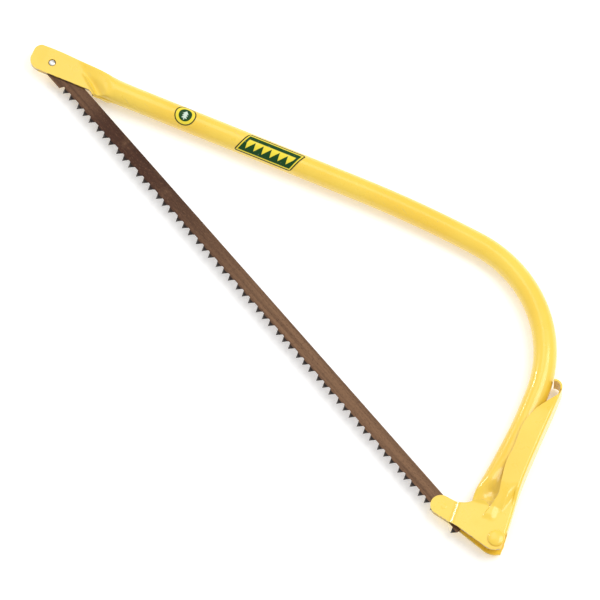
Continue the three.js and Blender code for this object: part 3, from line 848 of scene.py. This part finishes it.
class BowSawStage(bpy.types.PropertyGroup):
    """The camera, the light and the floor"""
    azimuth: FloatProperty(
        name="Azimuth", description="The camera's bearing", default=math.radians(50.85),
        subtype="ANGLE")
    elevation: FloatProperty(
        name="Elevation", description="The camera's height", default=math.radians(67),
        subtype="ANGLE")
    distance: FloatProperty(
        name="Distance", description="Camera to saw", default=8.0, unit="LENGTH")
    view_width: FloatProperty(
        name="View width", description="Width of the view at the saw", default=0.4850,
        unit="LENGTH")
    daylight: FloatProperty(
        name="Daylight", description="Strength of the even white light", default=0.66)
    key: FloatProperty(
        name="Key", description="Power of the main soft light", default=17.5, unit="POWER")
    floor_glow: FloatProperty(
        name="Floor glow", description="Light given by the light-table floor", default=0.24)
    floor: FloatVectorProperty(
        name="Floor", description="Floor colour", subtype="COLOR", default=(0.93, 0.93, 0.93),
        min=0, max=1)


# ---------- Stage ----------

VIEW_MIDDLE = (287.9, 25.0, 0)  # what the lamps face, in the pin frame
VIEW_SHIFT = (0.0012, -0.0020)  # the camera's own move to its right and up, in metres
SENSOR = 36.0
LAMPS = (  # name, place from the middle in metres, share of the key's power, width and height
    ("key_softbox", (0.6, 0.9, 1.7), 1.0, 1.2, 1.2),
    ("overhead_softbox", (-1.0, 0.5, 2.0), 0.3, 0.9, 1.4),
    ("low_glint", (-1.44, -0.22, 0.67), 0.2, 0.2, 0.2),
)


def add_floor(size):
    """A wide pale floor just under the saw, which gives a little light of its own."""
    corners = np.stack(np.meshgrid([-6, 6], [-6, 6], [-0.0003], indexing="ij"), -1)[:, :, 0]
    floor = mesh_piece("floor", grid(corners))
    look = Nodes("pale_floor")
    grain = look.step(look.noise(40.0, 3.0), 0.3, 0.7, 0.0, 0.03)
    shade = look.mix(grain, colour(size.floor), (0.8, 0.8, 0.8, 1))
    floor.data.materials.append(look.finish(
        Base_Color=shade, Roughness=0.8, Emission_Color=(1, 1, 1, 1), Emission_Strength=size.floor_glow))


def add_daylight(scene, strength):
    """An even white world."""
    world = bpy.data.worlds.new("even_white")
    world.use_nodes = True
    background = world.node_tree.nodes["Background"]
    background.inputs[0].default_value = (1, 1, 1, 1)
    background.inputs[1].default_value = strength
    scene.world = world


def add_lamp(scene, middle, name, offset, power, width, height):
    """A soft rectangular lamp that faces the middle and isn't seen itself."""
    data = bpy.data.lights.new(name, "AREA")
    data.shape = "RECTANGLE"
    data.size = width
    data.size_y = height
    data.energy = power
    lamp = bpy.data.objects.new(name, data)
    lamp.location = middle + np.array(offset)
    lamp.rotation_mode = "QUATERNION"
    lamp.rotation_quaternion = Vector(-np.array(offset)).to_track_quat("-Z", "Y")
    lamp.visible_camera = False
    scene.collection.objects.link(lamp)


def add_camera(scene, size, middle):
    """A far camera with a long lens, at the given bearing and height."""
    camera = bpy.data.objects.new("camera", bpy.data.cameras.new("camera"))
    scene.collection.objects.link(camera)
    a, e = size.azimuth, size.elevation
    back = np.array([math.sin(a) * math.cos(e), -math.cos(a) * math.cos(e), math.sin(e)])
    right = np.array([math.cos(a), math.sin(a), 0])
    up = np.cross(back, right)
    camera.location = middle + back * size.distance + right * VIEW_SHIFT[0] + up * VIEW_SHIFT[1]
    camera.rotation_mode = "QUATERNION"
    camera.rotation_quaternion = Vector(-back).to_track_quat("-Z", "Y")
    camera.data.sensor_width = SENSOR
    camera.data.lens = SENSOR * size.distance / size.view_width
    camera.data.clip_end = 60
    scene.camera = camera


# ---------- Operators ----------

class BOWSAW_OT_frame_tube(bpy.types.Operator):
    """Makes the bent tube with its pressed nose and heel"""
    bl_idname = "bowsaw.frame_tube"
    bl_label = "Frame tube"

    def execute(self, context):
        size = context.scene.bow_saw_tube
        piece = mesh_piece("tube_frame", tube_skin(size.radius / MM))
        thicken(piece, size.wall)
        bore = size.pin_hole / MM
        profile = [(0, -6), (bore, -6), (bore, 6), (0, 6)]
        drill = mesh_piece("drill", turned_skin(NOSE, profile, 48), outward=True)
        hole = piece.modifiers.new("pin_hole", "BOOLEAN")
        hole.object = drill
        hole.solver = "EXACT"
        settle(piece)
        bpy.data.objects.remove(drill)
        break_edges(piece)
        settle(piece)
        hand_over(piece, "frame_tube", "frame", bpy.data.materials["yellow_enamel"])
        return {"FINISHED"}


class BOWSAW_OT_blade(bpy.types.Operator):
    """Makes the toothed blade"""
    bl_idname = "bowsaw.blade"
    bl_label = "Blade"

    def execute(self, context):
        piece = mesh_piece("toothed_blade", blade_skin(context.scene.bow_saw_blade), outward=True)
        settle(piece, 20)
        hand_over(piece, "saw_blade", "blade", bpy.data.materials["brown_blade_steel"])
        return {"FINISHED"}


class BOWSAW_OT_lever(bpy.types.Operator):
    """Makes the pressed tension lever"""
    bl_idname = "bowsaw.lever"
    bl_label = "Tension lever"

    def execute(self, context):
        piece = mesh_piece("lever_channel", lever_skin())
        thicken(piece, context.scene.bow_saw_lever.sheet, even=False)
        break_edges(piece)
        settle(piece)
        hand_over(piece, "tension_lever", "lever", bpy.data.materials["yellow_enamel"])
        return {"FINISHED"}


class BOWSAW_OT_pins(bpy.types.Operator):
    """Makes the pivot rivet, the nose pin and the rear blade pin"""
    bl_idname = "bowsaw.pins"
    bl_label = "Rivet and pins"

    def execute(self, context):
        paint = bpy.data.materials["yellow_enamel"]
        head = dome(context.scene.bow_saw_lever.rivet_head / MM, RIVET_SEAT, RIVET_DOME)
        shank = [(RIVET_SHANK, -7.0), (RIVET_SHANK, 7.0)]
        profile = [*mirrored(head), *shank, *head]
        rivet = mesh_piece("pivot_rivet_head", turned_skin(PIVOT, profile), outward=True)
        settle(rivet, 45)
        hand_over(rivet, "pivot_rivet", "frame", paint)
        nose = mesh_piece("nose_pin_end", turned_skin(NOSE, NOSE_PIN, 40), outward=True)
        settle(nose, 45)
        hand_over(nose, "nose_pin", "frame", bpy.data.materials["bright_steel"])
        seat = NOSE + np.array([PIN_SPAN * MM, 0, 0])
        both_ends = [(r, -z) for r, z in REAR_PIN_END] + list(reversed(REAR_PIN_END))
        rear = mesh_piece("rear_pin_end", turned_skin(seat, both_ends, 40), outward=True)
        settle(rear, 45)
        hand_over(rear, "rear_blade_pin", "lever", paint)
        return {"FINISHED"}


class BOWSAW_OT_films(bpy.types.Operator):
    """Makes the round badge and the plain name plate, bent round the tube"""
    bl_idname = "bowsaw.films"
    bl_label = "Badge and plate"

    def execute(self, context):
        radius = context.scene.bow_saw_tube.radius / MM
        films = (
            ("badge_film", badge_skin(radius), "round_badge", "badge_print"),
            ("plate_film", plate_skin(radius), "name_plate", "plate_print"),
        )
        for name, skin, node, material in films:
            piece = mesh_piece(name, skin)
            add_print_map(piece)
            thicken(piece, FILM_THICK)
            settle(piece)
            hand_over(piece, node, "frame", bpy.data.materials[material])
        return {"FINISHED"}


class BOWSAW_OT_materials(bpy.types.Operator):
    """Makes the paint, steels and printed films"""
    bl_idname = "bowsaw.materials"
    bl_label = "Materials"

    def execute(self, context):
        look = context.scene.bow_saw_looks
        for make in (paint_material, blade_material, steel_material, badge_material, plate_material):
            make(look)
        return {"FINISHED"}


class BOWSAW_OT_stage(bpy.types.Operator):
    """Makes the floor, the light and the camera"""
    bl_idname = "bowsaw.stage"
    bl_label = "Stage"

    def execute(self, context):
        scene = context.scene
        size = scene.bow_saw_stage
        middle = NOSE + np.array(VIEW_MIDDLE) * MM
        add_floor(size)
        add_daylight(scene, size.daylight)
        for name, offset, share, width, height in LAMPS:
            add_lamp(scene, middle, name, offset, size.key * share, width, height)
        add_camera(scene, size, middle)
        scene.view_settings.view_transform = "Standard"
        return {"FINISHED"}


# ---------- Panel ----------

STEPS = (BOWSAW_OT_materials, BOWSAW_OT_frame_tube, BOWSAW_OT_blade, BOWSAW_OT_lever,
         BOWSAW_OT_pins, BOWSAW_OT_films, BOWSAW_OT_stage)
GROUPS = {
    "bow_saw_tube": BowSawTube, "bow_saw_blade": BowSawBlade, "bow_saw_lever": BowSawLever,
    "bow_saw_looks": BowSawLooks, "bow_saw_stage": BowSawStage,
}


class BOWSAW_PT_panel(bpy.types.Panel):
    """Lists the saw's sizes, colours and building steps"""
    bl_label = "Bow Saw"
    bl_space_type = "VIEW_3D"
    bl_region_type = "UI"
    bl_category = "Bow Saw"

    def draw(self, context):
        for step in STEPS:
            self.layout.operator(step.bl_idname)
        for key, group in GROUPS.items():
            box = self.layout.box()
            for name in group.__annotations__:
                box.prop(getattr(context.scene, key), name)


CLASSES = (*GROUPS.values(), *STEPS, BOWSAW_PT_panel)


def register():
    """Registers the settings, steps and panel, and puts the settings on the scene."""
    for cls in CLASSES:
        bpy.utils.register_class(cls)
    for key, group in GROUPS.items():
        setattr(bpy.types.Scene, key, PointerProperty(type=group))


def unregister():
    """Takes the settings, steps and panel away again."""
    for key in GROUPS:
        delattr(bpy.types.Scene, key)
    for cls in reversed(CLASSES):
        bpy.utils.unregister_class(cls)


def main():
    """Builds the saw step by step."""
    register()
    for step in STEPS:
        group, name = step.bl_idname.split(".")
        if getattr(getattr(bpy.ops, group), name)() != {"FINISHED"}:
            raise RuntimeError(f"{step.bl_label} didn't finish")


if __name__ == "__main__":
    main()
